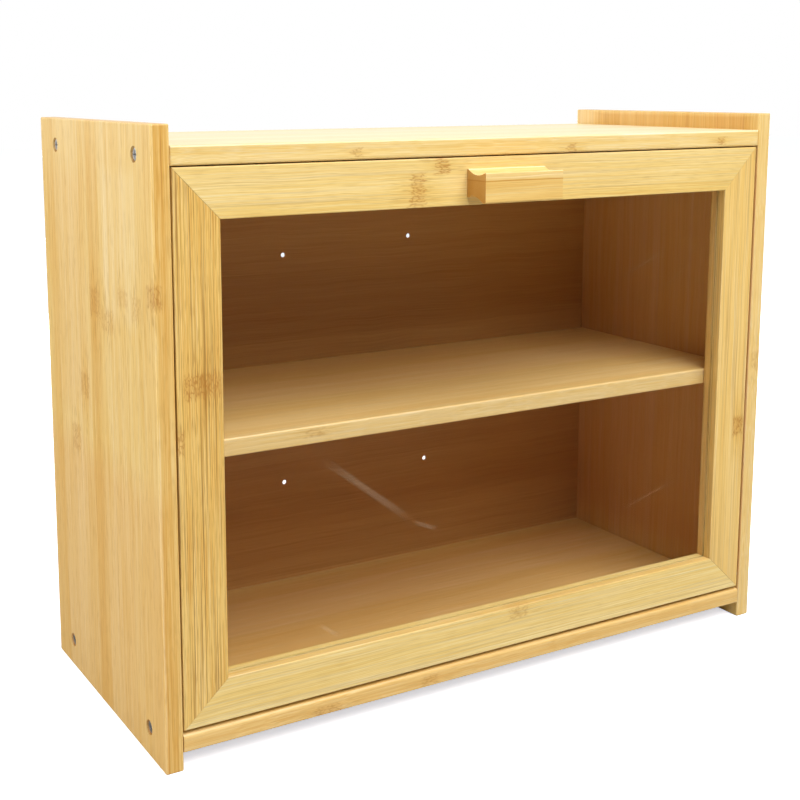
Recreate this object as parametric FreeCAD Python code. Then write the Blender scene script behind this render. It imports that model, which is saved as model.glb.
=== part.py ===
import FreeCAD, Part
import math
import os
from FreeCAD import Vector

# A two-tier bamboo bread bin with one drop-down window door. Millimetres, +Z up, front towards -Y.
# The origin is the bottom centre of the whole bin, with the door's pull included in its depth.

# Cabinet
WIDTH = 380.0
DEPTH = 162.0
HEIGHT = 304.0
BOARD = 9.0
HANDLE_REACH = 16.0
GALLERY = 9.5
FOOT_CLEARANCE = 9.0
PANEL_ARRIS = 0.8
BOARD_ARRIS = 1.0
BOTTOM_NOSE = 2.2
BOTTOM_END_GAP = 0.25

FRONT = HANDLE_REACH - (DEPTH + HANDLE_REACH) / 2
BACK = FRONT + DEPTH
INNER_X = WIDTH / 2 - BOARD
TOP_Z = HEIGHT - GALLERY - BOARD
BOTTOM_TOP = FOOT_CLEARANCE + BOARD
PAST = 1.0

# Back panel in its grooves
BACK_PANEL = 3.0
BACK_INSET = 6.0
GROOVE_DEPTH = 4.0
GROOVE_SLACK = 0.1
BACK_PANEL_ENTRY = 3.5
BACK_FACE = BACK - BACK_INSET - BACK_PANEL
VENT_R = 1.4
VENT_FLARE = 2.0
VENTS = [(-49.0, 220.5), (39.3, 227.0), (-49.6, 80.0), (52.4, 80.5)]

# Shelf in its housings
SHELF_Z = 146.0
SHELF_SETBACK = 12.5
SHELF_FRONT = FRONT + SHELF_SETBACK
SHELF_BACK_GAP = 0.4
HOUSING_DEPTH = 3.0
HOUSING_SLACK = 0.1
SHELF_NOSE = 1.2

# Screws and dowels of the case
SCREW_FRONT_SETBACK = 21.0
SCREW_REAR_SETBACK = 25.0
SCREW_BOTTOM_RISE = 6.0
SCREW_FRONT_Y = FRONT + SCREW_FRONT_SETBACK
SCREW_REAR_Y = BACK - SCREW_REAR_SETBACK
SCREW_TOP_Z = TOP_Z + BOARD / 2
SCREW_BOTTOM_Z = FOOT_CLEARANCE + SCREW_BOTTOM_RISE
COUNTERBORE_R = 3.8
COUNTERBORE_DEPTH = 2.7
SCREW_HEAD_R = 3.4
SCREW_HEAD_H = 2.0
SCREW_SHANK_R = 1.7
SCREW_LENGTH = 30.0
SCREW_TIP = 4.0
SCREW_TIP_R = 0.5
SCREW_CROWN_R = 0.9
RECESS_HALF_LENGTH = 1.9
RECESS_HALF_WIDTH = 0.45
RECESS_DEPTH = 1.2
FIT_SLACK = 0.05
DOWEL_R = 3.0
DOWEL_LENGTH = 23.0
DOWEL_IN_SIDE = 5.5
DOWEL_END_SLACK = 0.5

# Door frame
DOOR_THICK = 12.0
DOOR_LEFT_GAP = 0.6
DOOR_RIGHT_GAP = 1.4
DOOR_TOP_GAP = 0.7
DOOR_BOTTOM_GAP = 1.9
STILE = 23.2
TOP_RAIL = 24.0
BOTTOM_RAIL = 21.5
DOOR_ARRIS = 0.6
MITRE_GLUE_LINE = 0.12

DOOR_LEFT = -INNER_X + DOOR_LEFT_GAP
DOOR_RIGHT = INNER_X - DOOR_RIGHT_GAP
DOOR_TOP = TOP_Z - DOOR_TOP_GAP
DOOR_BOTTOM = BOTTOM_TOP + DOOR_BOTTOM_GAP
DOOR_BACK = FRONT + DOOR_THICK
WINDOW_LEFT = DOOR_LEFT + STILE
WINDOW_RIGHT = DOOR_RIGHT - STILE
WINDOW_TOP = DOOR_TOP - TOP_RAIL
WINDOW_BOTTOM = DOOR_BOTTOM + BOTTOM_RAIL

# Window sheet in the frame's groove
SHEET = 2.0
SHEET_SETBACK = 5.2
SHEET_ENTRY = 5.0
SHEET_GROOVE = 5.6
SHEET_SLACK = 0.1

# Splines across the mitres
SPLINE_THICK = 1.8
SPLINE_ACROSS = 12.0
SPLINE_ALONG = 13.0
SPLINE_BACKSET = 3.2

# Pull
HANDLE_X = 1.7
HANDLE_LENGTH = 48.0
HANDLE_TOP = 279.0
PULL_TIP = 1.0
PULL_HEIGHT = 16.2
PULL_LIP = 2.6
PULL_LIP_R = 0.7
PULL_LIP_DROP = 1.2
PULL_SCOOP_REACH = 8.8
PULL_TOP_SCOOP = 2.7
PULL_FOOT_SCOOP = 2.3
PULL_HEEL = 14.0
PULL_HEEL_REACH = 2.4
PULL_HEEL_STEP = 1.0
HANDLE_SCREW_PITCH = 28.0
HANDLE_SCREW_Z = 272.0
HANDLE_SCREW_LENGTH = 19.0
HANDLE_COUNTERBORE = 2.4

# Hinge line: pins in the door, bushes in the sides
PIVOT_SETBACK = 4.0
PIVOT_RISE = 7.1
PIVOT_Y = FRONT + PIVOT_SETBACK
PIVOT_Z = DOOR_BOTTOM + PIVOT_RISE
PIN_R = 1.5
PIN_IN_DOOR = 14.0
PIN_RUNNING_FIT = 0.05
BUSH_R = 2.6
BUSH_LENGTH = 6.0
PIN_END_SLACK = 0.6

# Magnetic catches
CATCH_X = 150.0
CATCH_DROP = 9.5
CATCH_Z = DOOR_TOP - CATCH_DROP
STOP_GAP = 0.4
STOP_WIDTH = 14.0
STOP_DEPTH = 12.0
STOP_DROP = 17.0
MAGNET_R = 4.0
MAGNET_THICK = 3.0
STRIKE_R = 6.0
STRIKE_THICK = 1.0
STRIKE_SCREW_HEAD_R = 2.4
STRIKE_SCREW_SHANK_R = 1.1
STRIKE_SCREW_LENGTH = 7.0
STRIKE_SLOT_HALF_LENGTH = 1.8
STRIKE_SLOT_HALF_WIDTH = 0.25
STRIKE_SLOT_DEPTH = 0.4

METAL_CHAMFER = 0.3

X_AXIS = Vector(1, 0, 0)
Y_AXIS = Vector(0, 1, 0)
Z_AXIS = Vector(0, 0, 1)
BOX_EDGE_TOLERANCE = 1e-6


def block(x0, x1, y0, y1, z0, z1):
    """A rectangular solid between two values on each axis."""
    return Part.makeBox(x1 - x0, y1 - y0, z1 - z0, Vector(x0, y0, z0))


def round_edges(solid, radius, wanted):
    """Fillets the edges whose end points both satisfy wanted(point)."""
    edges = [e for e in solid.Edges if all(wanted(v.Point) for v in e.Vertexes)]
    return solid.makeFillet(radius, edges)


def at(value, target):
    """True where a coordinate lies on the plane target."""
    return abs(value - target) < BOX_EDGE_TOLERANCE


def rod(radius, length, start, direction):
    """A plain cylinder."""
    return Part.makeCylinder(radius, length, start, direction)


def slab(middle, half_u, half_v, thickness):
    """A rectangle about middle, spanned by two half-sides and pushed through a thickness vector."""
    corners = [middle + half_u * u + half_v * v for u, v in ((-1, -1), (1, -1), (1, 1), (-1, 1), (-1, -1))]
    return Part.Face(Part.makePolygon(corners)).extrude(thickness)


def rims(cylinder):
    """The two circular edges of a plain cylinder."""
    return [edge for edge in cylinder.Edges if edge.Closed]


def mirror_x(shape):
    """The same piece on the other side of the bin's middle plane."""
    return shape.mirror(Vector(0, 0, 0), X_AXIS)


def pan_screw(start, direction, length):
    """A pan-head screw whose head bears at start and whose shank runs along direction."""
    head = rod(SCREW_HEAD_R, SCREW_HEAD_H, start - direction * SCREW_HEAD_H, direction)
    crown = min(head.Edges, key=lambda e: (e.CenterOfMass - start).dot(direction))
    head = head.makeFillet(SCREW_CROWN_R, [crown])
    shank = rod(SCREW_SHANK_R, length - SCREW_TIP, start, direction)
    tip_start = start + direction * (length - SCREW_TIP)
    tip = Part.makeCone(SCREW_SHANK_R, SCREW_TIP_R, SCREW_TIP, tip_start, direction)
    return head.fuse([shank, tip]).removeSplitter().cut(cross_recess(start, direction))


def cross_recess(start, direction):
    """Two crossed slots cut into a screw's head."""
    outer = start - direction * (SCREW_HEAD_H + PAST)
    slots = []
    for along in (direction.cross(Z_AXIS), Z_AXIS):
        half_long = along * RECESS_HALF_LENGTH
        half_wide = direction.cross(along) * RECESS_HALF_WIDTH
        slots.append(slab(outer, half_long, half_wide, direction * (RECESS_DEPTH + PAST)))
    return slots[0].fuse(slots[1])


def case_screw_places():
    """The (y, z) of each side panel's four screws."""
    return [(y, z) for z in (SCREW_TOP_Z, SCREW_BOTTOM_Z) for y in (SCREW_FRONT_Y, SCREW_REAR_Y)]


def dowel_holes(start_x, length):
    """The bores for the left-hand dowels, from start_x towards +X."""
    middle = (FRONT + BACK) / 2
    heights = (SCREW_TOP_Z, FOOT_CLEARANCE + BOARD / 2)
    return [rod(DOWEL_R + FIT_SLACK, length, Vector(start_x, middle, z), X_AXIS) for z in heights]


def screw_pilots():
    """The bores that the left-hand case screws follow into the top and bottom boards."""
    start_x = -INNER_X - BOARD
    reach = COUNTERBORE_DEPTH + SCREW_LENGTH + PAST
    return [rod(SCREW_SHANK_R + FIT_SLACK, reach, Vector(start_x, y, z), X_AXIS)
            for y, z in case_screw_places()]


def back_groove():
    """The groove all round the case that takes the back panel's edge."""
    reach = GROOVE_DEPTH
    return block(-INNER_X - reach, INNER_X + reach, BACK_FACE - GROOVE_SLACK,
                 BACK_FACE + BACK_PANEL + GROOVE_SLACK, BOTTOM_TOP - reach, TOP_Z + reach)


def side_panel_left():
    """One upright, with its counterbores, grooves, housing and the bush's bore."""
    left = -WIDTH / 2
    panel = block(left, -INNER_X, FRONT, BACK, 0, HEIGHT)
    panel = panel.makeFillet(PANEL_ARRIS, panel.Edges)
    cuts = [back_groove(), shelf_housing(), bush_bore()]
    cuts += dowel_holes(-INNER_X - DOWEL_IN_SIDE - DOWEL_END_SLACK, DOWEL_IN_SIDE + DOWEL_END_SLACK + PAST)
    cuts += screw_pilots()
    for y, z in case_screw_places():
        cuts.append(rod(COUNTERBORE_R, COUNTERBORE_DEPTH + PAST, Vector(left - PAST, y, z), X_AXIS))
    return panel.cut(cuts)


def shelf_housing():
    """The stopped grooves in both sides that hold the shelf's ends."""
    return block(-INNER_X - HOUSING_DEPTH, INNER_X + HOUSING_DEPTH, SHELF_FRONT - HOUSING_SLACK,
                 BACK_FACE, SHELF_Z - HOUSING_SLACK, SHELF_Z + BOARD + HOUSING_SLACK)


def bush_bore():
    """The blind bore for the left-hand pivot bush."""
    start = Vector(-INNER_X - BUSH_LENGTH, PIVOT_Y, PIVOT_Z)
    return rod(BUSH_R + FIT_SLACK, BUSH_LENGTH + PAST, start, X_AXIS)


def top_panel():
    """The top board, flush with the sides at the front and the back."""
    board = block(-INNER_X, INNER_X, FRONT, BACK, TOP_Z, TOP_Z + BOARD)
    board = round_edges(board, BOARD_ARRIS, lambda p: at(p.y, FRONT))
    return cut_both_ends(board, -INNER_X).cut(back_groove())


def bottom_panel():
    """The bottom board, with a rounder nose under the door."""
    end = INNER_X - BOTTOM_END_GAP
    board = block(-end, end, FRONT, BACK, FOOT_CLEARANCE, BOTTOM_TOP)
    board = round_edges(board, BOTTOM_NOSE, lambda p: at(p.y, FRONT) and at(p.z, BOTTOM_TOP))
    board = round_edges(board, PANEL_ARRIS, lambda p: at(p.y, FRONT) and at(p.z, FOOT_CLEARANCE))
    return cut_both_ends(board, -end).cut(back_groove())


def cut_both_ends(board, end_x):
    """Bores a board's two ends for the dowels and the case screws."""
    reach = DOWEL_LENGTH - DOWEL_IN_SIDE + DOWEL_END_SLACK
    bores = dowel_holes(end_x - PAST, reach + PAST) + screw_pilots()
    return board.cut(bores + [mirror_x(bore) for bore in bores])


def back_panel():
    """The thin back, with its vent holes, which flare out to the rear."""
    edge = INNER_X + BACK_PANEL_ENTRY
    panel = block(-edge, edge, BACK_FACE, BACK_FACE + BACK_PANEL,
                  BOTTOM_TOP - BACK_PANEL_ENTRY, TOP_Z + BACK_PANEL_ENTRY)
    rear_y = BACK_FACE + BACK_PANEL
    cuts = []
    for x, z in VENTS:
        cuts.append(rod(VENT_R, BACK_PANEL + 2 * PAST, Vector(x, BACK_FACE - PAST, z), Y_AXIS))
        flare_start = Vector(x, rear_y - VENT_FLARE, z)
        cuts.append(Part.makeCone(VENT_R, VENT_R + VENT_FLARE, VENT_FLARE, flare_start, Y_AXIS))
    return panel.cut(cuts)


def shelf():
    """The middle shelf, from just behind the door to the back panel."""
    end = INNER_X + HOUSING_DEPTH - HOUSING_SLACK
    board = block(-end, end, SHELF_FRONT, BACK_FACE - SHELF_BACK_GAP, SHELF_Z, SHELF_Z + BOARD)
    board = round_edges(board, SHELF_NOSE, lambda p: at(p.y, SHELF_FRONT) and at(p.z, SHELF_Z + BOARD))
    return round_edges(board, PANEL_ARRIS, lambda p: at(p.y, SHELF_FRONT) and at(p.z, SHELF_Z))


def case_screws_left():
    """The four screws through the left side panel."""
    bearing_x = -WIDTH / 2 + COUNTERBORE_DEPTH
    return [pan_screw(Vector(bearing_x, y, z), X_AXIS, SCREW_LENGTH) for y, z in case_screw_places()]


def joint_dowels():
    """Four dowels, one in the middle of each board's end."""
    start_x = -INNER_X - DOWEL_IN_SIDE
    middle = (FRONT + BACK) / 2
    left = []
    for z in (SCREW_TOP_Z, FOOT_CLEARANCE + BOARD / 2):
        dowel = rod(DOWEL_R, DOWEL_LENGTH, Vector(start_x, middle, z), X_AXIS)
        left.append(dowel.makeChamfer(DOWEL_END_SLACK, rims(dowel)))
    return left + [mirror_x(dowel) for dowel in left]


def stop_block(side):
    """A block under the top board, bored for its magnet. side is -1 on the left and 1 on the right."""
    x = side * CATCH_X
    y = DOOR_BACK + STOP_GAP
    body = block(x - STOP_WIDTH / 2, x + STOP_WIDTH / 2, y, y + STOP_DEPTH, TOP_Z - STOP_DROP, TOP_Z)
    body = round_edges(body, BOARD_ARRIS, lambda p: at(p.z, TOP_Z - STOP_DROP))
    return body.cut(rod(MAGNET_R + FIT_SLACK, MAGNET_THICK + PAST, Vector(x, y - PAST, CATCH_Z), Y_AXIS))


def magnet(side):
    """A disc magnet, flush with its stop block."""
    disc = rod(MAGNET_R, MAGNET_THICK, Vector(side * CATCH_X, DOOR_BACK + STOP_GAP, CATCH_Z), Y_AXIS)
    return disc.makeChamfer(METAL_CHAMFER, rims(disc))


def pivot_bush_left():
    """A plain sleeve, flush with the side panel's inner face."""
    start = Vector(-INNER_X - BUSH_LENGTH, PIVOT_Y, PIVOT_Z)
    sleeve = rod(BUSH_R, BUSH_LENGTH, start, X_AXIS)
    return sleeve.cut(rod(PIN_R + PIN_RUNNING_FIT, BUSH_LENGTH + 2 * PAST, start - X_AXIS * PAST, X_AXIS))


def pivot_pin(side):
    """A steel pin that is pressed into the door's lower corner and turns in the bush."""
    inner_end = DOOR_LEFT + PIN_IN_DOOR if side < 0 else DOOR_RIGHT - PIN_IN_DOOR
    outer_end = side * (INNER_X + BUSH_LENGTH - PIN_END_SLACK)
    direction = Vector(side, 0, 0)
    pin = rod(PIN_R, abs(outer_end - inner_end), Vector(inner_end, PIVOT_Y, PIVOT_Z), direction)
    return pin.makeChamfer(METAL_CHAMFER, rims(pin))


def pin_bore(side):
    """The bore for a pivot pin in the door's edge."""
    edge = DOOR_LEFT if side < 0 else DOOR_RIGHT
    start = Vector(edge + side * PAST, PIVOT_Y, PIVOT_Z)
    return rod(PIN_R + FIT_SLACK / 2, PIN_IN_DOOR + PAST + FIT_SLACK, start, Vector(-side, 0, 0))


def frame_corners():
    """Outer and inner corner of the door frame, as (outer, inner) points by corner name."""
    return {
        "bottom_left": ((DOOR_LEFT, DOOR_BOTTOM), (WINDOW_LEFT, WINDOW_BOTTOM)),
        "bottom_right": ((DOOR_RIGHT, DOOR_BOTTOM), (WINDOW_RIGHT, WINDOW_BOTTOM)),
        "top_right": ((DOOR_RIGHT, DOOR_TOP), (WINDOW_RIGHT, WINDOW_TOP)),
        "top_left": ((DOOR_LEFT, DOOR_TOP), (WINDOW_LEFT, WINDOW_TOP)),
    }


def frame_prism(corner_a, corner_b):
    """The mitred outline of the member between two corners, as a solid."""
    corners = frame_corners()
    outline = [corners[corner_a][0], corners[corner_b][0], corners[corner_b][1], corners[corner_a][1]]
    points = [Vector(x, FRONT, z) for x, z in outline]
    return Part.Face(Part.makePolygon(points + [points[0]])).extrude(Y_AXIS * DOOR_THICK)


def glue_lines():
    """Thin slices along the four mitres, which part the members."""
    slices = []
    for outer, inner in frame_corners().values():
        middle, along = mitre_line(outer, inner, FRONT - PAST)
        across = along.cross(Y_AXIS)
        thickness = Y_AXIS * (DOOR_THICK + 2 * PAST)
        slices.append(slab(middle, along * STILE, across * (MITRE_GLUE_LINE / 2), thickness))
    return slices


def mitre_line(outer, inner, y):
    """The middle of a mitre and the unit direction along it."""
    along = Vector(inner[0] - outer[0], 0, inner[1] - outer[1])
    along.normalize()
    return Vector((outer[0] + inner[0]) / 2, y, (outer[1] + inner[1]) / 2), along


def mitre_spline(corner, slack):
    """A key across one mitre, hidden behind the window's groove. slack grows it into its pocket."""
    outer, inner = frame_corners()[corner]
    middle, along = mitre_line(outer, inner, DOOR_BACK - SPLINE_BACKSET - slack)
    half_along = along * (SPLINE_ALONG / 2 + slack)
    half_across = along.cross(Y_AXIS) * (SPLINE_ACROSS / 2 + slack)
    return slab(middle, half_along, half_across, Y_AXIS * (SPLINE_THICK + 2 * slack))


def sheet_slot():
    """The space that the frame's groove leaves for the window sheet."""
    y = FRONT + SHEET_SETBACK
    reach = SHEET_GROOVE
    return block(WINDOW_LEFT - reach, WINDOW_RIGHT + reach, y - SHEET_SLACK, y + SHEET + SHEET_SLACK,
                 WINDOW_BOTTOM - reach, WINDOW_TOP + reach)


def frame_member(blank, corner_a, corner_b, long_axis):
    """A stile or rail: a blank with eased long edges, mitred, grooved and pocketed for its splines."""
    edges = [e for e in blank.Edges if at(abs(e.tangentAt(e.FirstParameter).dot(long_axis)), 1)]
    eased = blank.makeFillet(DOOR_ARRIS, edges)
    member = eased.common(frame_prism(corner_a, corner_b))
    pockets = [mitre_spline(corner, FIT_SLACK) for corner in (corner_a, corner_b)]
    return member.cut(glue_lines() + pockets + [sheet_slot(), pin_bore(-1), pin_bore(1)])


def door_stile_left():
    blank = block(DOOR_LEFT, WINDOW_LEFT, FRONT, DOOR_BACK, DOOR_BOTTOM, DOOR_TOP)
    return frame_member(blank, "bottom_left", "top_left", Z_AXIS)


def door_stile_right():
    blank = block(WINDOW_RIGHT, DOOR_RIGHT, FRONT, DOOR_BACK, DOOR_BOTTOM, DOOR_TOP)
    return frame_member(blank, "bottom_right", "top_right", Z_AXIS)


def door_rail_bottom():
    blank = block(DOOR_LEFT, DOOR_RIGHT, FRONT, DOOR_BACK, DOOR_BOTTOM, WINDOW_BOTTOM)
    return frame_member(blank, "bottom_left", "bottom_right", X_AXIS)


def door_rail_top():
    """The top rail, bored for the pull's screws and sunk for the strike plates."""
    blank = block(DOOR_LEFT, DOOR_RIGHT, FRONT, DOOR_BACK, WINDOW_TOP, DOOR_TOP)
    rail = frame_member(blank, "top_left", "top_right", X_AXIS)
    cuts = []
    for x in handle_screw_xs():
        start = Vector(x, FRONT - PAST, HANDLE_SCREW_Z)
        cuts.append(rod(SCREW_SHANK_R + FIT_SLACK, DOOR_THICK + 2 * PAST, start, Y_AXIS))
        start = Vector(x, DOOR_BACK - HANDLE_COUNTERBORE, HANDLE_SCREW_Z)
        cuts.append(rod(SCREW_HEAD_R + FIT_SLACK, HANDLE_COUNTERBORE + PAST, start, Y_AXIS))
    for side in (-1, 1):
        centre = Vector(side * CATCH_X, DOOR_BACK, CATCH_Z)
        cuts.append(rod(STRIKE_R + FIT_SLACK, STRIKE_THICK + PAST, centre - Y_AXIS * STRIKE_THICK, Y_AXIS))
        pilot = STRIKE_SCREW_LENGTH + FIT_SLACK
        cuts.append(rod(STRIKE_SCREW_SHANK_R + FIT_SLACK, pilot, centre - Y_AXIS * pilot, Y_AXIS))
    return rail.cut(cuts)


def door_window():
    """The clear sheet, held in the frame's groove."""
    y = FRONT + SHEET_SETBACK
    entry = SHEET_ENTRY
    return block(WINDOW_LEFT - entry, WINDOW_RIGHT + entry, y, y + SHEET,
                 WINDOW_BOTTOM - entry, WINDOW_TOP + entry)


def handle_screw_xs():
    """The x of the pull's two screws."""
    return [HANDLE_X - HANDLE_SCREW_PITCH / 2, HANDLE_X + HANDLE_SCREW_PITCH / 2]


def pull_point(reach, drop):
    """A point of the pull's profile: how far it stands out of the door and how far below the top."""
    return Vector(HANDLE_X - HANDLE_LENGTH / 2, FRONT - reach, HANDLE_TOP - drop)


def pull_corner(drop, towards):
    """The rounded front corner of the lip that starts at drop and turns up (-1) or down (1)."""
    middle = PULL_LIP_R * (1 - math.sqrt(0.5))
    end_drop = drop + towards * PULL_LIP_R
    return [
        pull_point(HANDLE_REACH, drop),
        pull_point(HANDLE_REACH - middle, end_drop - towards * middle),
        pull_point(HANDLE_REACH - PULL_LIP_R, end_drop),
    ]


def door_handle():
    """The pull: one profile with a finger scoop above and a longer one below, cut to length."""
    top_corner = pull_corner(PULL_LIP_DROP + PULL_LIP_R, -1)
    foot_corner = pull_corner(PULL_HEIGHT - PULL_LIP_R, 1)
    heel_notch = pull_point(PULL_HEEL_REACH + PULL_HEEL_STEP, PULL_HEEL - PULL_HEEL_STEP)
    edges = [
        Part.LineSegment(pull_point(0, 0), pull_point(PULL_TIP, 0)),
        Part.Arc(pull_point(PULL_TIP, 0), pull_point(PULL_SCOOP_REACH, PULL_TOP_SCOOP), top_corner[2]),
        Part.Arc(*reversed(top_corner)),
        Part.LineSegment(top_corner[0], foot_corner[0]),
        Part.Arc(*foot_corner),
        Part.LineSegment(foot_corner[2], pull_point(HANDLE_REACH - PULL_LIP, PULL_HEIGHT)),
        Part.Arc(pull_point(HANDLE_REACH - PULL_LIP, PULL_HEIGHT),
                 pull_point(PULL_SCOOP_REACH, PULL_HEIGHT - PULL_FOOT_SCOOP), heel_notch),
        Part.LineSegment(heel_notch, pull_point(PULL_HEEL_REACH, PULL_HEEL)),
        Part.LineSegment(pull_point(PULL_HEEL_REACH, PULL_HEEL), pull_point(0, PULL_HEEL)),
        Part.LineSegment(pull_point(0, PULL_HEEL), pull_point(0, 0)),
    ]
    profile = Part.Wire([edge.toShape() for edge in edges])
    pull = Part.Face(profile).extrude(X_AXIS * HANDLE_LENGTH)
    depth = HANDLE_SCREW_LENGTH - DOOR_THICK + HANDLE_COUNTERBORE + FIT_SLACK
    for x in handle_screw_xs():
        start = Vector(x, FRONT - depth, HANDLE_SCREW_Z)
        pull = pull.cut(rod(SCREW_SHANK_R + FIT_SLACK, depth, start, Y_AXIS))
    return pull


def handle_screws():
    """Two screws from inside the door."""
    bearing_y = DOOR_BACK - HANDLE_COUNTERBORE
    return [pan_screw(Vector(x, bearing_y, HANDLE_SCREW_Z), Vector(0, -1, 0), HANDLE_SCREW_LENGTH)
            for x in handle_screw_xs()]


def strike_head():
    """A countersunk head as deep as the strike plate, at the origin, pointing along -Y."""
    return Part.makeCone(STRIKE_SCREW_HEAD_R, STRIKE_SCREW_SHANK_R, STRIKE_THICK,
                         Vector(0, 0, 0), Vector(0, -1, 0))


def strike_plate(side):
    """A steel disc sunk flush in the rail's back, countersunk for its screw."""
    centre = Vector(side * CATCH_X, DOOR_BACK, CATCH_Z)
    disc = rod(STRIKE_R, STRIKE_THICK, centre - Y_AXIS * STRIKE_THICK, Y_AXIS)
    sink = Part.makeCone(STRIKE_SCREW_HEAD_R + FIT_SLACK, STRIKE_SCREW_SHANK_R + FIT_SLACK, STRIKE_THICK,
                         centre, Vector(0, -1, 0))
    return disc.cut(sink)


def strike_screws():
    """Two small countersunk screws, flush with their plates."""
    screws = []
    for side in (-1, 1):
        centre = Vector(side * CATCH_X, DOOR_BACK, CATCH_Z)
        head = strike_head()
        head.translate(centre)
        length = STRIKE_SCREW_LENGTH - STRIKE_THICK
        shank = rod(STRIKE_SCREW_SHANK_R, length, centre - Y_AXIS * STRIKE_THICK, Vector(0, -1, 0))
        slot = slab(centre - Y_AXIS * STRIKE_SLOT_DEPTH, X_AXIS * STRIKE_SLOT_HALF_LENGTH,
                    Z_AXIS * STRIKE_SLOT_HALF_WIDTH, Y_AXIS * (STRIKE_SLOT_DEPTH + PAST))
        screws.append(head.fuse(shank).removeSplitter().cut(slot))
    return screws


def build():
    """Every node by name. A node with several equal pieces is a list of solids."""
    left_side = side_panel_left()
    left_screws = case_screws_left()
    left_bush = pivot_bush_left()
    return {
        "side_panel_left": left_side,
        "side_panel_right": mirror_x(left_side),
        "top_panel": top_panel(),
        "bottom_panel": bottom_panel(),
        "back_panel": back_panel(),
        "shelf": shelf(),
        "case_screws_left": left_screws,
        "case_screws_right": [mirror_x(screw) for screw in left_screws],
        "joint_dowels": joint_dowels(),
        "stop_block_left": stop_block(-1),
        "stop_block_right": stop_block(1),
        "magnet_left": magnet(-1),
        "magnet_right": magnet(1),
        "pivot_bush_left": left_bush,
        "pivot_bush_right": mirror_x(left_bush),
        "door_stile_left": door_stile_left(),
        "door_stile_right": door_stile_right(),
        "door_rail_top": door_rail_top(),
        "door_rail_bottom": door_rail_bottom(),
        "mitre_splines": [mitre_spline(corner, 0) for corner in frame_corners()],
        "door_window": door_window(),
        "door_handle": door_handle(),
        "handle_screws": handle_screws(),
        "strike_plate_left": strike_plate(-1),
        "strike_plate_right": strike_plate(1),
        "strike_screws": strike_screws(),
        "pivot_pin_left": pivot_pin(-1),
        "pivot_pin_right": pivot_pin(1),
    }


def export(nodes):
    """Writes one STEP file per node."""
    os.makedirs("parts", exist_ok=True)
    for name, piece in nodes.items():
        shape = Part.makeCompound(piece) if isinstance(piece, list) else piece
        if not shape.isValid():
            raise ValueError(name + " is not a valid shape")
        shape.exportStep("parts/" + name + ".step")
        print(f"{name:20s} solids {len(shape.Solids):2d} volume {shape.Volume:10.1f}", shape.BoundBox)


export(build())
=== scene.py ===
import math

import bmesh
import bpy
from mathutils import Matrix, Vector


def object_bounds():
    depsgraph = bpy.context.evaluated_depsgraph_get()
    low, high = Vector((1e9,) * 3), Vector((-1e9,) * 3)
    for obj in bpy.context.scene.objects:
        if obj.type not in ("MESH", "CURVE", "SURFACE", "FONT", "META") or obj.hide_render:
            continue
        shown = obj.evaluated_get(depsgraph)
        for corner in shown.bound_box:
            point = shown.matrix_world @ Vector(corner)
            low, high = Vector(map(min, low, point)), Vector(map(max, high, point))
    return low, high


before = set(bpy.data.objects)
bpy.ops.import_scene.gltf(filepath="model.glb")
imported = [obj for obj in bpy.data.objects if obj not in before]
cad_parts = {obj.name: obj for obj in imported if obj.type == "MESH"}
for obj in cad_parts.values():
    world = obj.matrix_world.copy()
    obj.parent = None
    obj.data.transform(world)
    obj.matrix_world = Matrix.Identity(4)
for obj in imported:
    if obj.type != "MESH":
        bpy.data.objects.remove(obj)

# A two-tier bamboo bread bin with a drop-down window door, finished in satin lacquer. Metres, +Z up.

MM = 0.001
cad_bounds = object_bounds()


# ---- Colours and nodes ----

def linear(hex_colour):
    """An sRGB hex value such as "e8c583" as linear RGBA."""
    channels = [int(hex_colour[i:i + 2], 16) / 255 for i in (0, 2, 4)]
    return [c / 12.92 if c <= 0.04045 else ((c + 0.055) / 1.055) ** 2.4 for c in channels] + [1.0]


def add(tree, kind, sockets=None, **settings):
    """A node with its settings. A socket takes a plain value, a node (its first output) or a socket."""
    node = tree.nodes.new(kind)
    for name, value in settings.items():
        setattr(node, name, value)
    for key, value in (sockets or {}).items():
        if isinstance(value, bpy.types.Node):
            value = value.outputs[0]
        if isinstance(value, bpy.types.NodeSocket):
            tree.links.new(value, node.inputs[key])
        else:
            node.inputs[key].default_value = value
    return node


def new_material(name):
    """An empty node material and its tree."""
    material = bpy.data.materials.new(name)
    material.use_nodes = True
    material.node_tree.nodes.clear()
    return material, material.node_tree


def set_stops(colour_ramp, stops):
    """Gives a colour ramp its (position, hex colour) stops."""
    while len(colour_ramp.elements) < len(stops):
        colour_ramp.elements.new(0.5)
    for element, (position, colour) in zip(colour_ramp.elements, stops):
        element.position = position
        element.color = linear(colour)


# ---- Laminated bamboo ----

# Each ramp runs from dark fibre to bare pale wood
NATURAL_TONES = [(0.0, "b97c2a"), (0.25, "d9a54a"), (0.5, "e9c475"), (0.75, "f3d9a0"), (1.0, "faecca")]
STRAW_TONES = [(0.0, "b9802a"), (0.25, "d9a94a"), (0.5, "e9c875"), (0.75, "f3dda0"), (1.0, "faf0cc")]
GOLDEN_TONES = [(0.0, "ac6d18"), (0.25, "d29b3c"), (0.5, "e8c164"), (0.75, "f1d38a"), (1.0, "f8e6b6")]
# The last ramp is darker than the rest and is used on the back panel: painted shade for the inside of
# the bin, which darkens the back's outer face as well.
SHADED_BACK_TONES = [(0.0, "9c662c"), (0.3, "b67f3f"), (0.6, "c89453"), (1.0, "d8ab70")]
ORANGE_STRIP = "e9b070"
FIBRE_BROWN = "a06c14"
KNUCKLE_BROWN = "b2721c"
END_GRAIN = "b8761c"
# AMBER is the warm brown of the amber patches, most of which are painted shade
AMBER = "c8682e"

STRIP_MM = 20.0
STRIP_JITTER = 0.45
PLY_MM = 3.2
PLY_JITTER = 0.3
# Real glue lines and fibre bundles are 0.1 to 0.2 mm across, so the glue line, hair, dash, fleck and
# lace are drawn coarser than that, as coarse as they need to show
GLUE_LINE_MM = 0.22
GLUE_LINE_SHADE = 0.3
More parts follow.
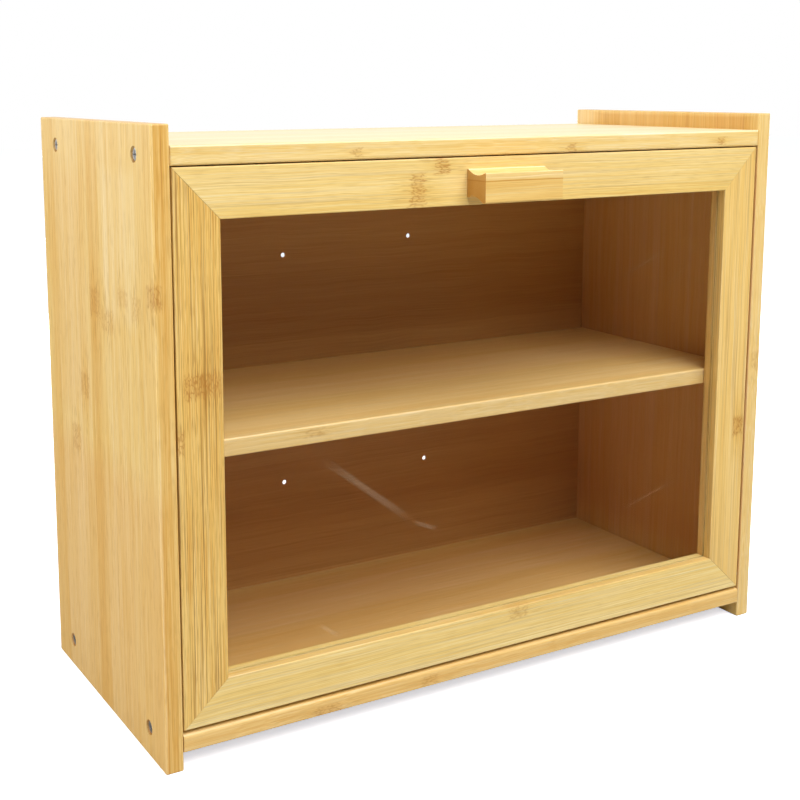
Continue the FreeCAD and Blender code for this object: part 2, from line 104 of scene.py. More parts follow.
# Width and length of each marking
HAIR_MM = (0.36, 60.0)
FIBRE_MM = (0.9, 140.0)
STREAK_MM = (6.0, 300.0)
DASH_MM = (0.38, 11.0)
FLECK_MM = (1.5, 9.0)
LACE_MM = (1.2, 4.2)
JAG_MM = (1.3, 25.0)
JAG_REACH_MM = 9.0
GRAIN_NOISE_ROUGHNESS = 0.55
WAVES_PER_MM = 0.03
WAVE_HEIGHT_MM = 7.0
KNUCKLE_BEND_MM = 2.0
STRIP_SHIFT_MM = 90.0
# A knuckle's tail is this many times as long as its core, darker in tone and fuller of dashes
TAIL_LENGTHS = 4.0
TAIL_TONE = -0.16
TAIL_DASHES = 0.6
# Where a marking starts and where it reaches its full strength, as values of its noise
DASH_RANGE = (0.52, 0.7)
LINE_RANGE = (0.5, 0.66)
LACE_RANGE = (0.02, 0.09)
LACE_GROUND = 0.22
GLOSS_RANGE = (0.3, 0.7)
# Shares of a box's half size between which a band, an amber patch or a knuckle fades out
BOX_EDGE = (0.8, 1.0)
CORE_EDGE = (0.75, 1.05)
TAIL_EDGE = (0.15, 1.0)
# How squarely a face looks along the grain before it shows end grain
END_FACING = (0.7, 0.95)
SATIN_ROUGHNESS = (0.4, 0.52)
LACQUER_COAT = 0.3
LACQUER_ROUGHNESS = 0.3
WOOD_IOR = 1.5
GRAIN_RELIEF_MM = 0.05
GRAIN_BUMP = 0.3
# A half size that takes in the whole board
ALL = 999.0


def reach(tree, point, centre, half):
    """How far a point lies from the centre of a box, as a share of its half sizes: 1 at its faces."""
    off = add(tree, "ShaderNodeVectorMath", {0: point, 1: centre}, operation="SUBTRACT")
    share = add(tree, "ShaderNodeVectorMath", {0: off, 1: half}, operation="DIVIDE")
    far = add(tree, "ShaderNodeVectorMath", {0: share}, operation="ABSOLUTE")
    axes = add(tree, "ShaderNodeSeparateXYZ", {0: far}).outputs
    larger = add(tree, "ShaderNodeMath", {0: axes["X"], 1: axes["Y"]}, operation="MAXIMUM")
    return add(tree, "ShaderNodeMath", {0: larger, 1: axes["Z"]}, operation="MAXIMUM")


def bamboo(name, along, across, strip_mm=STRIP_MM, seed=0.0, tone=0.0, tones=NATURAL_TONES, strips=0.12,
           plies=0.1, streaks=0.3, fibres=0.4, hairs=0.6, lines=0.15, dashes=0.12, dash_mm=DASH_MM,
           waviness=0.5, orange=0.15, end_grain=0.3, bands=(), knuckles=(), amber=()):
    """Solid bamboo board, pressed from strips, sanded and satin lacquered: pale honey strips that
    differ a little in tone, hairlines of darker fibre along the grain, and lace-like brown knuckles
    where a strip crosses the cane's joint. bands are (centre, half sizes, tone change), and knuckles
    and amber patches are (centre, half sizes, strength), in millimetres. Some bands are painted light
    or shade, and most amber patches are painted shade: warm brown on inside faces, screw recess
    walls, reveals and lips, and toward the foot of a board."""
    material, tree = new_material(name)
    metres = add(tree, "ShaderNodeTexCoord").outputs["Object"]
    point = add(tree, "ShaderNodeVectorMath", {0: metres, "Scale": 1 / MM}, operation="SCALE")
    axes = add(tree, "ShaderNodeSeparateXYZ", {0: point}).outputs
    depth = ({"X", "Y", "Z"} - {along, across}).pop()
    v, u, w = axes[across], axes[along], axes[depth]
    turned = add(tree, "ShaderNodeCombineXYZ", {"X": v, "Y": u, "Z": w})

    # Strips and plies: each has its own tone, and a thin glue line parts the strips
    strip_v = add(tree, "ShaderNodeMath", {0: v, 1: seed}, operation="ADD")
    cells = {"W": strip_v, "Scale": 1 / strip_mm, "Randomness": STRIP_JITTER}
    strip = add(tree, "ShaderNodeTexVoronoi", cells, voronoi_dimensions="1D")
    edge = add(tree, "ShaderNodeTexVoronoi", cells, voronoi_dimensions="1D", feature="DISTANCE_TO_EDGE")
    ply = add(tree, "ShaderNodeTexVoronoi", {"W": w, "Scale": 1 / PLY_MM, "Randomness": PLY_JITTER},
              voronoi_dimensions="1D")
    strip_value = add(tree, "ShaderNodeSeparateColor", {0: strip.outputs["Color"]}).outputs
    ply_value = add(tree, "ShaderNodeSeparateColor", {0: ply.outputs["Color"]}).outputs

    # Knuckles: a jagged box for each, and a longer one in which the fibres darken and bend
    drawn = add(tree, "ShaderNodeMapping", {"Vector": turned, "Location": (seed, seed, seed),
                "Scale": (1 / JAG_MM[0], 1 / JAG_MM[1], 1 / JAG_MM[0])})
    jag = add(tree, "ShaderNodeTexNoise", {"Vector": drawn, "Scale": 1.0, "Detail": 1.0})
    jag_off = add(tree, "ShaderNodeMath", {0: jag.outputs["Fac"], 1: 0.5}, operation="SUBTRACT")
    jag_mm = add(tree, "ShaderNodeMath", {0: jag_off, 1: JAG_REACH_MM}, operation="MULTIPLY")
    grain_way = [float(axis == along) for axis in "XYZ"]
    shift = add(tree, "ShaderNodeVectorMath", {0: grain_way, "Scale": jag_mm}, operation="SCALE")
    jagged = add(tree, "ShaderNodeVectorMath", {0: point, 1: shift}, operation="ADD")
    knuckle = add(tree, "ShaderNodeValue")
    knuckle.outputs[0].default_value = 0.0
    tail = knuckle
    for centre, half, strength in knuckles:
        long_half = [size * (TAIL_LENGTHS if axis == along else 1.0) for axis, size in zip("XYZ", half)]
        core = add(tree, "ShaderNodeMapRange", {"Value": reach(tree, jagged, centre, half),
                   "From Min": CORE_EDGE[0], "From Max": CORE_EDGE[1], "To Min": strength,
                   "To Max": 0.0})
        knuckle = add(tree, "ShaderNodeMath", {0: knuckle, 1: core}, operation="MAXIMUM")
        around = add(tree, "ShaderNodeMapRange", {"Value": reach(tree, jagged, centre, long_half),
                     "From Min": TAIL_EDGE[0], "From Max": TAIL_EDGE[1], "To Min": strength,
                     "To Max": 0.0})
        tail = add(tree, "ShaderNodeMath", {0: tail, 1: around}, operation="MAXIMUM")

    # Grain: a noise drawn out along the fibres at five finenesses, each strip shifted by its own length
    wave = add(tree, "ShaderNodeTexNoise", {"Vector": turned, "Scale": WAVES_PER_MM, "Detail": 1.0})
    wave_off = add(tree, "ShaderNodeMath", {0: wave.outputs["Fac"], 1: 0.5}, operation="SUBTRACT")
    wave_mm = add(tree, "ShaderNodeMath", {0: wave_off, 1: WAVE_HEIGHT_MM * waviness},
                  operation="MULTIPLY")
    bend = add(tree, "ShaderNodeMath", {0: jag_off, 1: tail}, operation="MULTIPLY")
    bent = add(tree, "ShaderNodeMath", {0: bend, 1: KNUCKLE_BEND_MM, 2: wave_mm},
               operation="MULTIPLY_ADD")
    grain_v = add(tree, "ShaderNodeMath", {0: v, 1: bent}, operation="ADD")
    grain_u = add(tree, "ShaderNodeMath", {0: strip_value["Green"], 1: STRIP_SHIFT_MM, 2: u},
                  operation="MULTIPLY_ADD")
    grain = add(tree, "ShaderNodeCombineXYZ", {"X": grain_v, "Y": grain_u, "Z": w})
    pattern = {}
    for kind, (width, length), detail in (("hair", HAIR_MM, 1.0), ("fibre", FIBRE_MM, 2.0),
                                          ("streak", STREAK_MM, 2.0), ("dash", dash_mm, 1.0),
                                          ("lace", LACE_MM, 1.0)):
        drawn = add(tree, "ShaderNodeMapping", {"Vector": grain, "Location": (seed, seed, 0),
                    "Scale": (1 / width, 1 / length, 1 / width)})
        noise = add(tree, "ShaderNodeTexNoise", {"Vector": drawn, "Scale": 1.0, "Detail": detail,
                    "Roughness": GRAIN_NOISE_ROUGHNESS})
        pattern[kind] = noise.outputs["Fac"]

    # Tone: everything above adds up to a place on the bamboo's ramp of colours
    total = add(tree, "ShaderNodeMath", {0: strip_value["Red"], 1: strips, 2: 0.5 + tone - strips / 2},
                operation="MULTIPLY_ADD")
    for value, share in ((ply_value["Red"], plies), (pattern["streak"], streaks),
                         (pattern["fibre"], fibres), (pattern["hair"], hairs)):
        centred = add(tree, "ShaderNodeMath", {0: value, 1: share, 2: -share / 2},
                      operation="MULTIPLY_ADD")
        total = add(tree, "ShaderNodeMath", {0: total, 1: centred}, operation="ADD")
    for centre, half, change in bands:
        inside = add(tree, "ShaderNodeMapRange", {"Value": reach(tree, point, centre, half),
                     "From Min": BOX_EDGE[0], "From Max": BOX_EDGE[1], "To Min": change, "To Max": 0.0})
        total = add(tree, "ShaderNodeMath", {0: total, 1: inside}, operation="ADD")
    toned = add(tree, "ShaderNodeMath", {0: tail, 1: TAIL_TONE, 2: total}, operation="MULTIPLY_ADD")
    ramp = add(tree, "ShaderNodeValToRGB", {"Fac": toned})
    set_stops(ramp.color_ramp, tones)
    tint = add(tree, "ShaderNodeMath", {0: strip_value["Blue"], 1: orange}, operation="MULTIPLY")
    colour = add(tree, "ShaderNodeMix", {"Factor": tint, "A": ramp.outputs["Color"],
                 "B": linear(ORANGE_STRIP)}, data_type="RGBA").outputs["Result"]

    # Dark dashes of fibre, knuckle lace, glue lines and end grain are laid over it
    more = add(tree, "ShaderNodeMath", {0: tail, 1: TAIL_DASHES, 2: dashes}, operation="MULTIPLY_ADD")
    dash = add(tree, "ShaderNodeMapRange", {"Value": pattern["dash"], "From Min": DASH_RANGE[0],
               "From Max": DASH_RANGE[1], "To Min": 0.0, "To Max": more})
    line = add(tree, "ShaderNodeMapRange", {"Value": pattern["fibre"], "From Min": LINE_RANGE[0],
               "From Max": LINE_RANGE[1], "To Min": 0.0, "To Max": lines})
    off_line = add(tree, "ShaderNodeMath", {0: pattern["lace"], 1: 0.5}, operation="SUBTRACT")
    line_gap = add(tree, "ShaderNodeMath", {0: off_line}, operation="ABSOLUTE")
    lace = add(tree, "ShaderNodeMapRange", {"Value": line_gap, "From Min": LACE_RANGE[0],
               "From Max": LACE_RANGE[1], "To Min": 1.0, "To Max": LACE_GROUND})
    lace_shown = add(tree, "ShaderNodeMath", {0: lace, 1: knuckle}, operation="MULTIPLY")
    glue = add(tree, "ShaderNodeMapRange", {"Value": edge.outputs["Distance"], "From Min": 0.0,
               "From Max": GLUE_LINE_MM / strip_mm, "To Min": GLUE_LINE_SHADE, "To Max": 0.0})
    faces = add(tree, "ShaderNodeTexCoord").outputs["Normal"]
    facing = add(tree, "ShaderNodeSeparateXYZ", {0: faces}).outputs[along]
    squarely = add(tree, "ShaderNodeMath", {0: facing}, operation="ABSOLUTE")
    end = add(tree, "ShaderNodeMapRange", {"Value": squarely, "From Min": END_FACING[0],
              "From Max": END_FACING[1], "To Min": 0.0, "To Max": end_grain})
    overlays = [(line, FIBRE_BROWN), (dash, FIBRE_BROWN), (lace_shown, KNUCKLE_BROWN),
                (glue, FIBRE_BROWN), (end, END_GRAIN)]
    # Amber patches are laid over it too, most of them painted shade on inside faces, in recesses and
    # low on a board
    for centre, half, strength in amber:
        amber_shade = add(tree, "ShaderNodeMapRange", {"Value": reach(tree, point, centre, half),
                      "From Min": BOX_EDGE[0], "From Max": BOX_EDGE[1], "To Min": strength,
                      "To Max": 0.0})
        overlays.append((amber_shade, AMBER))
    for factor, over in overlays:
        colour = add(tree, "ShaderNodeMix", {"Factor": factor, "A": colour, "B": linear(over)},
                     data_type="RGBA").outputs["Result"]

    rough = add(tree, "ShaderNodeMapRange", {"Value": pattern["fibre"], "From Min": GLOSS_RANGE[0],
                "From Max": GLOSS_RANGE[1], "To Min": SATIN_ROUGHNESS[0], "To Max": SATIN_ROUGHNESS[1]})
    bump = add(tree, "ShaderNodeBump", {"Height": pattern["hair"], "Strength": GRAIN_BUMP,
               "Distance": GRAIN_RELIEF_MM * MM})
    surface = add(tree, "ShaderNodeBsdfPrincipled", {"Base Color": colour, "Roughness": rough,
                  "Normal": bump, "IOR": WOOD_IOR, "Coat Weight": LACQUER_COAT,
                  "Coat Roughness": LACQUER_ROUGHNESS})
    add(tree, "ShaderNodeOutputMaterial", {"Surface": surface})
    return material


# ---- Metal, nylon, acrylic ----

# Real plating grit and moulding texture are finer than 0.1 mm, so both are drawn coarser to show
ZINC_GRIT_MM = 0.5
STEEL_GRIT_MM = 0.4
NYLON_MOTTLE_MM = 0.8
NYLON_IOR = 1.53
# Roughness from the smoothest to the roughest spot, as steps from a metal's own, and for nylon
METAL_GLOSS_STEPS = (-0.08, 0.12)
NYLON_ROUGHNESS = (0.42, 0.58)
DOWEL_FLECK_MM = (4.0, 0.4)
DOWEL_TONES = [(0.35, "b98a5c"), (0.5, "d9b387"), (0.7, "e6c8a2")]
DOWEL_ROUGHNESS = 0.6


def metal(name, colours, roughness, grit_mm):
    """Bright metal with a fine grain: small even changes of gloss break up its reflections."""
    material, tree = new_material(name)
    point = add(tree, "ShaderNodeTexCoord").outputs["Object"]
    grain = add(tree, "ShaderNodeTexNoise", {"Vector": point, "Scale": 1 / (grit_mm * MM),
                "Detail": 2.0})
    tint = add(tree, "ShaderNodeMix", {"Factor": grain.outputs["Fac"], "A": linear(colours[0]),
               "B": linear(colours[1])}, data_type="RGBA")
    smooth, coarse = METAL_GLOSS_STEPS
    rough = add(tree, "ShaderNodeMapRange", {"Value": grain.outputs["Fac"],
                "To Min": roughness + smooth, "To Max": roughness + coarse})
    surface = add(tree, "ShaderNodeBsdfPrincipled", {"Base Color": tint.outputs["Result"],
                  "Metallic": 1.0, "Roughness": rough})
    add(tree, "ShaderNodeOutputMaterial", {"Surface": surface})
    return material


def moulded_nylon():
    """Moulded natural nylon: milky off-white, with a faint dry mottle."""
    material, tree = new_material("moulded_nylon")
    point = add(tree, "ShaderNodeTexCoord").outputs["Object"]
    mottle = add(tree, "ShaderNodeTexNoise", {"Vector": point, "Scale": 1 / (NYLON_MOTTLE_MM * MM),
                 "Detail": 2.0})
    tint = add(tree, "ShaderNodeMix", {"Factor": mottle.outputs["Fac"], "A": linear("d9d4c4"),
               "B": linear("ece8dc")}, data_type="RGBA")
    rough = add(tree, "ShaderNodeMapRange", {"Value": mottle.outputs["Fac"],
                "To Min": NYLON_ROUGHNESS[0], "To Max": NYLON_ROUGHNESS[1]})
    surface = add(tree, "ShaderNodeBsdfPrincipled", {"Base Color": tint.outputs["Result"],
                  "Roughness": rough, "IOR": NYLON_IOR})
    add(tree, "ShaderNodeOutputMaterial", {"Surface": surface})
    return material


def beech_dowel():
    """Turned beech dowel: pinkish pale wood with short dark flecks along its length."""
    material, tree = new_material("beech_dowel")
    point = add(tree, "ShaderNodeTexCoord").outputs["Object"]
    length, width = DOWEL_FLECK_MM
    drawn = add(tree, "ShaderNodeMapping", {"Vector": point,
                "Scale": (1 / (length * MM), 1 / (width * MM), 1 / (width * MM))})
    fleck = add(tree, "ShaderNodeTexNoise", {"Vector": drawn, "Scale": 1.0, "Detail": 2.0})
    tint = add(tree, "ShaderNodeValToRGB", {"Fac": fleck.outputs["Fac"]})
    set_stops(tint.color_ramp, DOWEL_TONES)
    surface = add(tree, "ShaderNodeBsdfPrincipled", {"Base Color": tint, "Roughness": DOWEL_ROUGHNESS})
    add(tree, "ShaderNodeOutputMaterial", {"Surface": surface})
    return material


ACRYLIC_IOR = 1.49
ACRYLIC_ROUGHNESS = 0.02
# Faint pale streaks on the window sheet, drawn as a thin diffuse film: centre (x, z), half length, half
# width, turn in degrees, strength
SHEET_STREAKS = [
    ((-76, 119), 35, 2.6, -37.8, 0.045), ((-42, 95), 9, 1.6, -23.0, 0.045),
    ((-99, 50), 9, 1.6, -36.0, 0.05), ((102, 222), 20, 0.8, 22.5, 0.022),
    ((112, 87), 26, 1.0, 15.6, 0.022), ((128, 214), 16, 0.8, 32.0, 0.015),
]
# A streak fades out from this share of its half sizes to the other
SHEET_STREAK_EDGE = (0.2, 1.0)


def clear_acrylic():
    """Cast acrylic sheet, 2 mm: water clear and glossy, with a few faint pale streaks across its front,
    drawn as a thin diffuse film. Lamps and bounced light pass straight through."""
    material, tree = new_material("clear_acrylic")
    metres = add(tree, "ShaderNodeTexCoord").outputs["Object"]
    point = add(tree, "ShaderNodeVectorMath", {0: metres, "Scale": 1 / MM}, operation="SCALE")
    streak_share = add(tree, "ShaderNodeValue")
    streak_share.outputs[0].default_value = 0.0
    for (x, z), half_length, half_width, turn, strength in SHEET_STREAKS:
        along = add(tree, "ShaderNodeMapping", {"Vector": point, "Location": (x, 0, z),
                    "Rotation": (0, -math.radians(turn), 0)}, vector_type="TEXTURE")
        off_centre = reach(tree, along, (0, 0, 0), (half_length, ALL, half_width))
        near = add(tree, "ShaderNodeMapRange", {"Value": off_centre, "From Min": SHEET_STREAK_EDGE[0],
                   "From Max": SHEET_STREAK_EDGE[1], "To Min": strength, "To Max": 0.0},
                   interpolation_type="SMOOTHSTEP")
        streak_share = add(tree, "ShaderNodeMath", {0: streak_share, 1: near}, operation="MAXIMUM")
    sheet = add(tree, "ShaderNodeBsdfPrincipled", {"Base Color": linear("fbfdfc"),
                "Roughness": ACRYLIC_ROUGHNESS, "IOR": ACRYLIC_IOR, "Transmission Weight": 1.0})
    path = add(tree, "ShaderNodeLightPath").outputs
    mirrored = add(tree, "ShaderNodeMath", {0: path["Is Glossy Ray"], 1: path["Is Transmission Ray"]},
                   operation="GREATER_THAN")
    scattered = add(tree, "ShaderNodeMath", {0: path["Is Diffuse Ray"], 1: mirrored},
                    operation="MAXIMUM")
    passed = add(tree, "ShaderNodeMath", {0: path["Is Shadow Ray"], 1: scattered}, operation="MAXIMUM")
    through = add(tree, "ShaderNodeBsdfTransparent", {"Color": linear("fdfefd")})
    film = add(tree, "ShaderNodeBsdfDiffuse", {"Color": linear("f4e0c0")})
    streaked_sheet = add(tree, "ShaderNodeMixShader", {0: streak_share, 1: sheet, 2: film})
    surface = add(tree, "ShaderNodeMixShader", {0: passed, 1: streaked_sheet, 2: through})
    add(tree, "ShaderNodeOutputMaterial", {"Surface": surface})
    return material


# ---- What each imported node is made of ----

BAMBOO_BOARDS = {
    "side_panel_left": dict(
        along="Z", across="Y", strip_mm=20.5, seed=7.0, tone=0.11, strips=0.12, streaks=0.25,
        fibres=0.35, hairs=0.7, lines=0.1, dashes=0.16, dash_mm=FLECK_MM, waviness=0.15, orange=0.05,
        # The band lightening the upper front of the outer face, at (-190, -30, 245), is painted light.
        bands=[((-190, 8, 150), (6, 9.5, ALL), -0.12), ((-190, 55, 150), (6, 36, ALL), -0.04),
               ((-190, -30, 245), (2, 26, 40), 0.08), ((-186, -73, 150), (3, 1, ALL), -0.21),
               ((-182, -73, 150), (1.5, 1, ALL), -0.1)],
        knuckles=[((-190, -73, 227), (4, 10, 6), 0.6), ((-190, -10, 207), (4, 10, 6), 0.4),
                  ((-190, 28, 168), (4, 8, 7), 0.4), ((-190, 45, 137), (4, 8, 8), 0.45),
                  ((-190, 8, 214), (4, 8.5, 8), 0.5), ((-190, -32, 221), (4, 8, 5), 0.3),
                  ((-190, -50, 219), (4, 7, 6), 0.35)],
        # Amber: the first patch lies inside the board and browns only the screw recess walls, painted
        # shade in the recesses; the second browns the lower half of the outer face, painted shade
        # toward the foot.
        amber=[((-187.3, 8, 150), (2.4, 75, 148), 0.6), ((-190, 8, 45), (2, ALL, 100), 0.13),
               ((-190, 8, 225), (2, 9, 75), 0.05), ((-190, 50, 215), (2, 33, 70), 0.06)]),
    "side_panel_right": dict(
        along="Z", across="Y", strip_mm=21.0, seed=31.0, tone=0.09, orange=0.2,
        # Both bands and the first amber patch lie on the inner face: darker just under the top panel
        # and warm brown all over, painted shade of the inside of the bin. The second amber patch browns
        # the screw recess walls: painted shade in the recesses.
        bands=[((180, 0, 294), (1.5, 76, 9), -0.24), ((180, 10, 150), (1.5, 100, 142), 0.11)],
        knuckles=[((187, -73, 159), (4, 4, 6), 0.35)],
        amber=[((180, 10, 150), (1.5, 100, 142), 0.38), ((187.3, 8, 150), (2.4, 75, 148), 0.6)]),
    "top_panel": dict(
        along="X", across="Y", strip_mm=21.0, seed=13.0, tone=0.17, tones=STRAW_TONES, dashes=0.08,
        # The band at z 294.5 lightens the top face: painted light from above.
        bands=[((0, -73, 290), (ALL, 1.2, 6), -0.02), ((0, 0, 294.5), (ALL, ALL, 1), 0.2)],
        knuckles=[((-86, -73, 289), (3, 4, 2.5), 0.5), ((44, -73, 288), (3, 4, 2.5), 0.5),
                  ((152, -73, 289), (3, 4, 2.5), 0.6)]),
    "bottom_panel": dict(
        along="X", across="Y", strip_mm=21.0, seed=19.0, tone=0.06, orange=0.2,
        knuckles=[((-42.6, -73, 12.7), (5, 6, 3), 0.4), ((-103, -73, 10), (8, 6, 4), 0.5)],
        # The amber patch browns the top face inside the bin: painted shade.
        amber=[((0, 9.5, 18), (185, 69, 1), 0.22)]),
    "shelf": dict(
        along="X", across="Y", strip_mm=21.0, seed=43.0, tone=0.09, orange=0.3,
        # The band lightens the shelf's front face: painted light. The amber patch browns its top face:
        # painted shade inside the bin.
        bands=[((0, -61, 150), (ALL, 1.2, 6), 0.1)],
        knuckles=[((-103.5, -61, 151.6), (6, 4, 2.5), 0.4)],
        amber=[((0, 9.5, 155), (185, 69, 1), 0.08)]),
    # The back panel's dark ramp and lowered tone are painted shade for the inside of the bin.
    "back_panel": dict(along="X", across="Z", strip_mm=21.0, seed=57.0, tone=-0.06, tones=SHADED_BACK_TONES),
    "stop_block_left": dict(along="X", across="Y", strip_mm=21.0, seed=3.0),
    "stop_block_right": dict(along="X", across="Y", strip_mm=21.0, seed=5.0),
    "door_stile_left": dict(
        along="Z", across="X", strip_mm=60.0, seed=2.0, tone=0.09, tones=GOLDEN_TONES, fibres=0.6,
        hairs=0.95, lines=0.8, dashes=0.4, waviness=0.08,
        # The band at (-167, -73, 45) lightens the foot of the stile: painted light.
        bands=[((-179.2, -73, 150), (2.2, 20, ALL), 0.12), ((-167, -73, 45), (14, 8, 45), 0.05)],
        knuckles=[((-167.5, -73, 185), (10, 8, 6.5), 0.7), ((-179, -73, 160), (2.2, 8, 6), 0.6)]),
    "door_stile_right": dict(
        along="Z", across="X", strip_mm=60.0, seed=9.0, tone=0.12, tones=GOLDEN_TONES, hairs=0.8,
        lines=0.5, waviness=0.15,
        knuckles=[((174.5, -73, 120.5), (4.5, 8, 6), 0.8)],
        # The amber patch browns the stile's inner reveal facing the window: painted shade.
        amber=[((156.2, -63.5, 150), (0.6, 2.9, ALL), 0.2)]),
    "door_rail_top": dict(
        along="X", across="Z", strip_mm=60.0, seed=11.0, tone=0.12, tones=STRAW_TONES, streaks=0.22,
        hairs=0.6, lines=0.25, dashes=0.2, waviness=0.15, orange=0.08,
        knuckles=[((-37, -73, 281), (4.5, 8, 4.5), 0.7), ((-51.5, -73, 269.5), (4.5, 8, 9), 0.65)]),
    "door_rail_bottom": dict(
        along="X", across="Z", strip_mm=60.0, seed=17.0, tone=0.16, tones=STRAW_TONES, streaks=0.22,
        hairs=0.6, lines=0.25, dashes=0.15, waviness=0.15, orange=0.0,
        knuckles=[((15, -73, 38), (7, 8, 4), 0.4)],
        # The amber patch browns a thin strip along the rail's top edge by the window, damping its
        # highlight: painted shade.
        amber=[((0, -70, 41.6), (ALL, 3.5, 0.6), 0.1)]),
    "door_handle": dict(
        along="X", across="Z", strip_mm=60.0, seed=23.0, tone=-0.13, orange=0.0, end_grain=0.68,
        # The band across the top of the pull (z 279.5) and the one over its scoop (y -79) are painted
        # light from above; the upper lamella's lighter tone and the dark lamination line are the wood's
        # own.
        bands=[((0, -80, 279.5), (ALL, ALL, 1), 0.34), ((0, -80, 277), (ALL, ALL, 3.3), 0.14),
               ((0, -79, 278), (ALL, 7, 2.4), 0.07), ((0, -80, 273.6), (ALL, ALL, 0.3), -0.3)]),
    "mitre_splines": dict(along="Z", across="X", seed=29.0),
}


def set_material(node, material):
    """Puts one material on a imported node."""
    slots = bpy.data.objects[node].material_slots
    if not slots:
        bpy.data.objects[node].data.materials.append(material)
    for slot in slots:
        slot.material = material


def finish_nodes():
    """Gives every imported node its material."""
    zinc = metal("zinc_plated_steel", ("cdced0", "f0f1f1"), 0.38, ZINC_GRIT_MM)
    bright = metal("polished_steel", ("a7a9ab", "cfd1d3"), 0.22, STEEL_GRIT_MM)
    nickel = metal("nickel_plate", ("b9b2a6", "dad5ca"), 0.2, STEEL_GRIT_MM)
    nylon = moulded_nylon()
    plain = {
        "case_screws_left": zinc, "case_screws_right": zinc, "handle_screws": zinc,
        "strike_screws": zinc, "strike_plate_left": zinc, "strike_plate_right": zinc,
        "pivot_pin_left": bright, "pivot_pin_right": bright,
        "magnet_left": nickel, "magnet_right": nickel,
        "pivot_bush_left": nylon, "pivot_bush_right": nylon,
        "joint_dowels": beech_dowel(), "door_window": clear_acrylic(),
    }
    for node, material in plain.items():
        set_material(node, material)
    for node, look in BAMBOO_BOARDS.items():
        set_material(node, bamboo("bamboo_" + node, **look))


# ---- Stage ----

FLOOR_HALF = 6.0
# Half sizes of the patch under the bin that glows less, so that the shadow there stays
FOOTPRINT = (0.19, 0.09, ALL)
# Shares of the footprint between which the glow grows, and the glow at either end
GLOW_EDGE = (1.0, 1.4)
GLOW = (0.62, 1.15)


def pale_floor():
    """A large matt white floor. The camera sees its lit part as white, and the bin's shadow stays."""
    mesh = bpy.data.meshes.new("floor")
    shape = bmesh.new()
    bmesh.ops.create_grid(shape, x_segments=1, y_segments=1, size=FLOOR_HALF)
    shape.to_mesh(mesh)
    shape.free()
    floor = bpy.data.objects.new("floor", mesh)
    bpy.context.scene.collection.objects.link(floor)
    floor.location.z = cad_bounds[0][2]

    material, tree = new_material("matt_white_floor")
    point = add(tree, "ShaderNodeTexCoord").outputs["Object"]
    away = reach(tree, point, (0.0, 0.0, 0.0), FOOTPRINT)
    glow = add(tree, "ShaderNodeMapRange", {"Value": away, "From Min": GLOW_EDGE[0],
               "From Max": GLOW_EDGE[1], "To Min": GLOW[0], "To Max": GLOW[1]},
               interpolation_type="SMOOTHSTEP")
    path = add(tree, "ShaderNodeLightPath").outputs
    seen = add(tree, "ShaderNodeMath", {0: path["Is Camera Ray"], 1: path["Is Transmission Ray"]},
               operation="MAXIMUM")
    strength = add(tree, "ShaderNodeMath", {0: glow, 1: seen}, operation="MULTIPLY")
    mirrored = add(tree, "ShaderNodeMath", {0: path["Is Glossy Ray"], 1: path["Is Transmission Ray"]},
                   operation="GREATER_THAN")
    dark = add(tree, "ShaderNodeMix", {"Factor": mirrored, "A": linear("cfcfcf"),
               "B": linear("202020")}, data_type="RGBA")
    cover = add(tree, "ShaderNodeMix", {"Factor": path["Is Camera Ray"], "A": dark.outputs["Result"],
                "B": linear("fdfdff")}, data_type="RGBA")
    matt = add(tree, "ShaderNodeBsdfDiffuse", {"Color": cover.outputs["Result"]})
    light = add(tree, "ShaderNodeEmission", {"Color": linear("eef3ff"), "Strength": strength})
    surface = add(tree, "ShaderNodeAddShader", {0: matt, 1: light})
    add(tree, "ShaderNodeOutputMaterial", {"Surface": surface})
    mesh.materials.append(material)


# Room seen in reflections: from dim on the camera's side to bright behind the bin, along world Y
ROOM_DEPTH = (-0.2, 0.3)
ROOM_LIGHT = (0.03, 0.92)


def white_world():
    """White to the camera. Reflections see a dim room on the camera's side and white beyond the bin."""
    world = bpy.data.worlds.new("studio")
    bpy.context.scene.world = world
    world.use_nodes = True
    tree = world.node_tree
    tree.nodes.clear()
    direction = add(tree, "ShaderNodeTexCoord").outputs["Generated"]
    depth = add(tree, "ShaderNodeSeparateXYZ", {0: direction}).outputs["Y"]
    backdrop = add(tree, "ShaderNodeMapRange", {"Value": depth, "From Min": ROOM_DEPTH[0],
                   "From Max": ROOM_DEPTH[1], "To Min": ROOM_LIGHT[0], "To Max": ROOM_LIGHT[1]})
    path = add(tree, "ShaderNodeLightPath").outputs
    seen = add(tree, "ShaderNodeMath", {0: path["Is Camera Ray"], 1: path["Is Transmission Ray"]},
               operation="MAXIMUM")
    fill = add(tree, "ShaderNodeMix", {0: path["Is Glossy Ray"], 2: 0.0, 3: backdrop})
    strength = add(tree, "ShaderNodeMix", {0: seen, 2: fill, 3: 1.0})
    surface = add(tree, "ShaderNodeBackground", {"Color": linear("ffffff"), "Strength": strength})
    add(tree, "ShaderNodeOutputWorld", {"Surface": surface})


def softbox(name, place, target, size, power):
    """A square area lamp that looks at a target."""
    lamp = bpy.data.lights.new(name, "AREA")
    lamp.size = size
    lamp.energy = power
    holder = bpy.data.objects.new(name, lamp)
    holder.location = place
    holder.rotation_euler = (Vector(target) - Vector(place)).to_track_quat("-Z", "Y").to_euler()
    bpy.context.scene.collection.objects.link(holder)


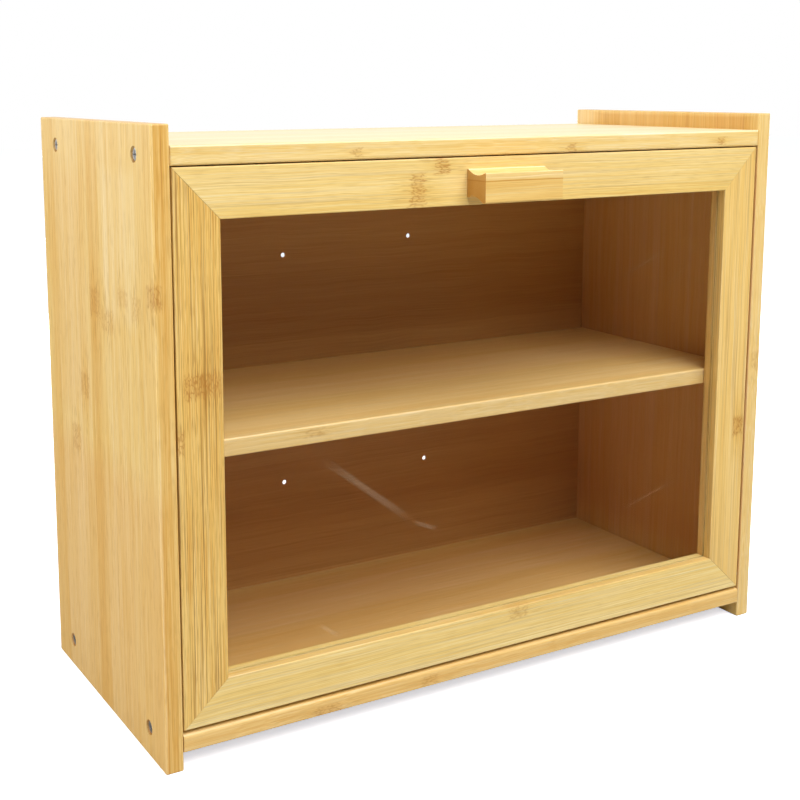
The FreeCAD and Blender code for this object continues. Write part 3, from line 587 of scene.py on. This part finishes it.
BIN_MIDDLE = (0.0, 0.0, 0.15)


def lights():
    """A large softbox high in front, two at the left, low and high, a small one behind, which lights
    the vents, and one at the right."""
    softbox("key_softbox", (0.15, -1.0, 1.52), BIN_MIDDLE, 1.5, 44.5)
    softbox("low_side_softbox", (-1.4, 0.15, 0.45), BIN_MIDDLE, 0.7, 10.3)
    softbox("high_side_softbox", (-1.4, 0.15, 1.0), BIN_MIDDLE, 0.9, 5.2)
    softbox("back_softbox", (0.05, 1.2, 0.16), BIN_MIDDLE, 0.26, 9.0)
    softbox("right_softbox", (1.4, 0.2, 0.36), BIN_MIDDLE, 0.6, 8.0)


# A 36 mm sensor with a shifted lens, at the left in front of the bin and just above its top
CAMERA_SENSOR_MM = 36.0
CAMERA_LENS_MM = 58.45
CAMERA_SHIFT = (0.0625, -0.1375)
CAMERA_PLACE = Vector((-0.3964, -0.6088, 0.3198))
CAMERA_YAW = math.radians(29.76)
CAMERA_PITCH = math.radians(8.9)
CAMERA_ROLL = math.radians(-0.15)


def camera():
    """The scene's camera, turned by its yaw, pitch and roll."""
    data = bpy.data.cameras.new("camera")
    data.sensor_width = CAMERA_SENSOR_MM
    data.lens = CAMERA_LENS_MM
    data.shift_x, data.shift_y = CAMERA_SHIFT
    ahead = Vector((math.sin(CAMERA_YAW) * math.cos(CAMERA_PITCH),
                    math.cos(CAMERA_YAW) * math.cos(CAMERA_PITCH), -math.sin(CAMERA_PITCH)))
    level = Vector((math.cos(CAMERA_YAW), -math.sin(CAMERA_YAW), 0.0))
    above = level.cross(ahead)
    right = level * math.cos(CAMERA_ROLL) + above * math.sin(CAMERA_ROLL)
    up = right.cross(ahead)
    holder = bpy.data.objects.new("camera", data)
    turn = Matrix((right, up, -ahead)).transposed().to_4x4()
    holder.matrix_world = Matrix.Translation(CAMERA_PLACE) @ turn
    bpy.context.scene.collection.objects.link(holder)
    bpy.context.scene.camera = holder


finish_nodes()
pale_floor()
white_world()
lights()
camera()
bpy.context.scene.view_settings.view_transform = "Standard"
